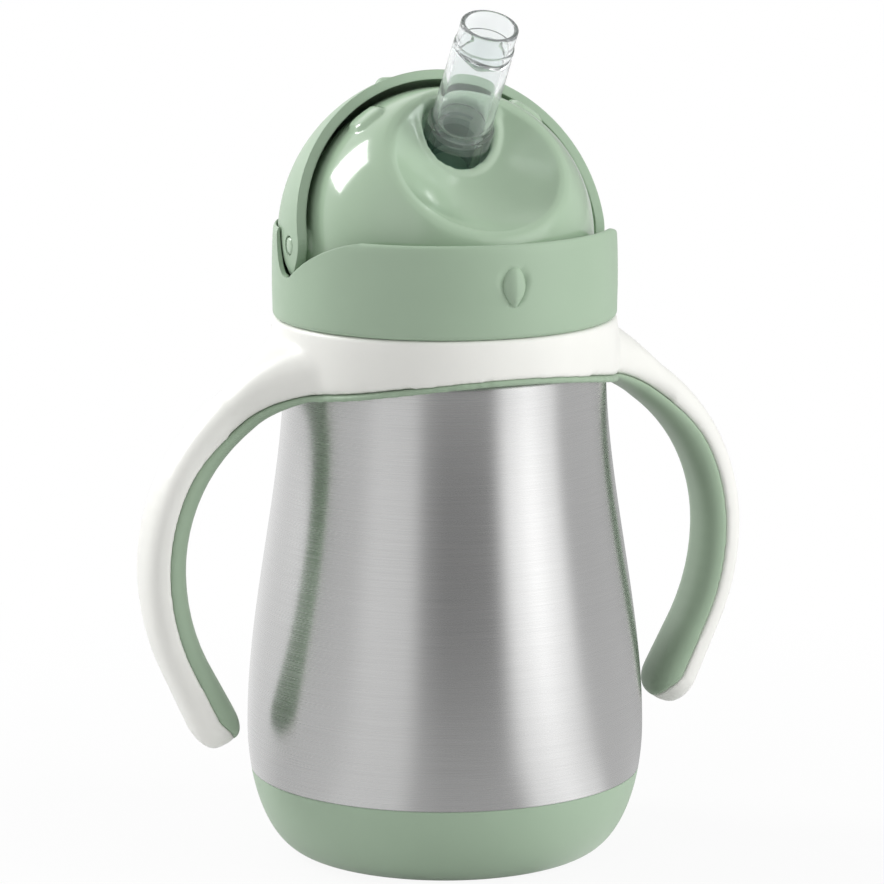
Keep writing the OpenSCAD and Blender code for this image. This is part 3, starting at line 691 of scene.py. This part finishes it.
def spoutOutline():
    m = spout
    tipR, lowR, plug, throat = m["tipR"], m["lowR"], m["plugR"], m["throat"]
    tip, bore, valve = m["length"], tipR - m["wall"], m["length"] - m["valveDrop"]
    step, flange, flangeR = tip - m["stepDrop"], m["plugLow"], plug + m["flangeOut"]
    # from the top of the slit membrane up the bore and over the tip
    outline = [(0, valve - 0.5)] + linePoints((bore * 0.2, valve - 0.5), (bore * 0.9, valve - 0.1), 9)
    outline += linePoints((bore, valve), (bore, tip - 0.7), 6)
    outline += arcPoints(tipR - m["rimRound"], tip - m["rimRound"], m["rimRound"], 175, 0, 9)
    # down the outside to the foot
    outline += linePoints((tipR, tip - 1.3), (tipR, step), 4)
    outline += curvePoints((tipR, step - 0.2), (tipR + m["stepOut"] - 0.03, step - 0.35),
                           (tipR + m["stepOut"], step - 0.7), 5)
    outline += linePoints((tipR + m["stepOut"] + 0.02, step - 1.5), (lowR, 5.2), 14)
    outline += curvePoints((lowR, 4.9), (lowR + 0.05, 4.2), (plug - 0.2, 4.0), 5)
    outline += curvePoints((plug - 0.12, 3.95), (plug, 3.9), (plug, 3.6), 4)
    outline += linePoints((plug, 3), (plug, flange), 14)
    outline += [(flangeR - 0.2, flange), (flangeR, flange - 0.2), (flangeR, flange + 0.2 - m["flangeHigh"]),
                (flangeR - 0.2, flange - m["flangeHigh"]), (bore - 0.6, flange - m["flangeHigh"])]
    # and back up the inside, past the throat, to the underside of the membrane
    outline += linePoints((bore - 0.6, -7), (bore - 0.9, 1.6), 4)
    outline += curvePoints((throat, 2.2), (throat - 0.15, 3), (throat, 3.4), 5)
    outline += curvePoints((throat + 0.3, 3.6), (bore - 0.2, 3.7), (bore, 4.8), 6)
    outline += linePoints((bore, 5.6), (bore, valve - 3), 12)
    outline += linePoints((bore, valve - 0.85), (bore * 0.2, valve - 1.2), 9) + [(0, valve - 1.2)]
    return outline, bore, valve


def makeMouthpiece():
    m = spout
    outline, bore, valve = spoutOutline()
    bm = lathe(outline, 96, closed=False)
    for vert in bm.verts:
        x, y, z = vert.co / mm
        reach = hypot(x, y) / bore
        if abs(z - valve + 0.6) < 1.2 and hypot(x, y) < bore + 0.01:
            # the membrane is folded to a slit, lower along its middle line
            share = min(1, reach)
            z += m["slitRise"] * abs(cos(atan2(y, x) - m["slitTurn"])) * share ** 1.5
            z -= m["slitFall"] * (1 - share)
        z -= m["slant"] * y * max(0, min(1, (z - valve + 4) / 6))
        vert.co.z = z * mm
    root = bm.copy()
    for part, side in ((bm, 1), (root, -1)):
        bmesh.ops.bisect_plane(part, geom=part.verts[:] + part.edges[:] + part.faces[:], dist=1e-7,
                               plane_co=(0, 0, m["splitAt"] * mm), plane_no=(0, 0, side), clear_inner=True)
        part.transform(strawPlace())
    # the root below the split wears the darkened rubber, painted shade of the hole round it
    fit(finishMesh("spoutRoot", root, 50), "lid", rootSiliconePaintedShade, "mouthpiece")
    piece = fit(finishMesh("softSpout", bm, 50), "lid", silicone, "mouthpiece")
    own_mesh(piece)
    print("mouthpiece done")


placeCamera()
buildWorld()
buildFloor()
addLamps()

steel = brushedSteel("brushedSteel", colors["steel"], 0.27, 3600)
linerSteel = brushedSteel("linerSteel", colors["liner"], 0.22, 2400)
sage = mouldedPlastic("sagePlastic", colors["sage"], 0.42)
domeSage = mouldedPlastic("domePlastic", colors["sageDome"], 0.14, grain=0.02, coat=0.5)
whitePlastic = mouldedPlastic("whitePlastic", colors["white"], 0.36)
bootSilicone = softSilicone("bootSilicone", colors["boot"], 0.5)
gripSilicone = softSilicone("gripSilicone", colors["grip"], 0.48)
silicone = clearRubber("clearSilicone", colors["clear"], 0.92, 0.025)
# clear rubber darkened to paint the shade in the hole round the mouthpiece root
rootSiliconePaintedShade = clearRubber("rootSiliconePaintedShade", colors["clearRootPaintedShade"], 1.0, 0.03)
clearPlastic = clearRubber("clearPlastic", colors["clearHard"], 1.0, 0.05)

makeVessel()
makeBoot()
makeHandles()
makeDome()
makeCollar()
makeCover()
makeMouthpiece()
for nodeName, material in (("shell_base", linerSteel), ("lid_gasket", silicone), ("vent_valve", silicone),
                           ("straw_adaptor", clearPlastic), ("lower_straw", silicone)):
    setFinish(nodes[nodeName], material)
print("pieces done")

scene.view_settings.view_transform = "Standard"
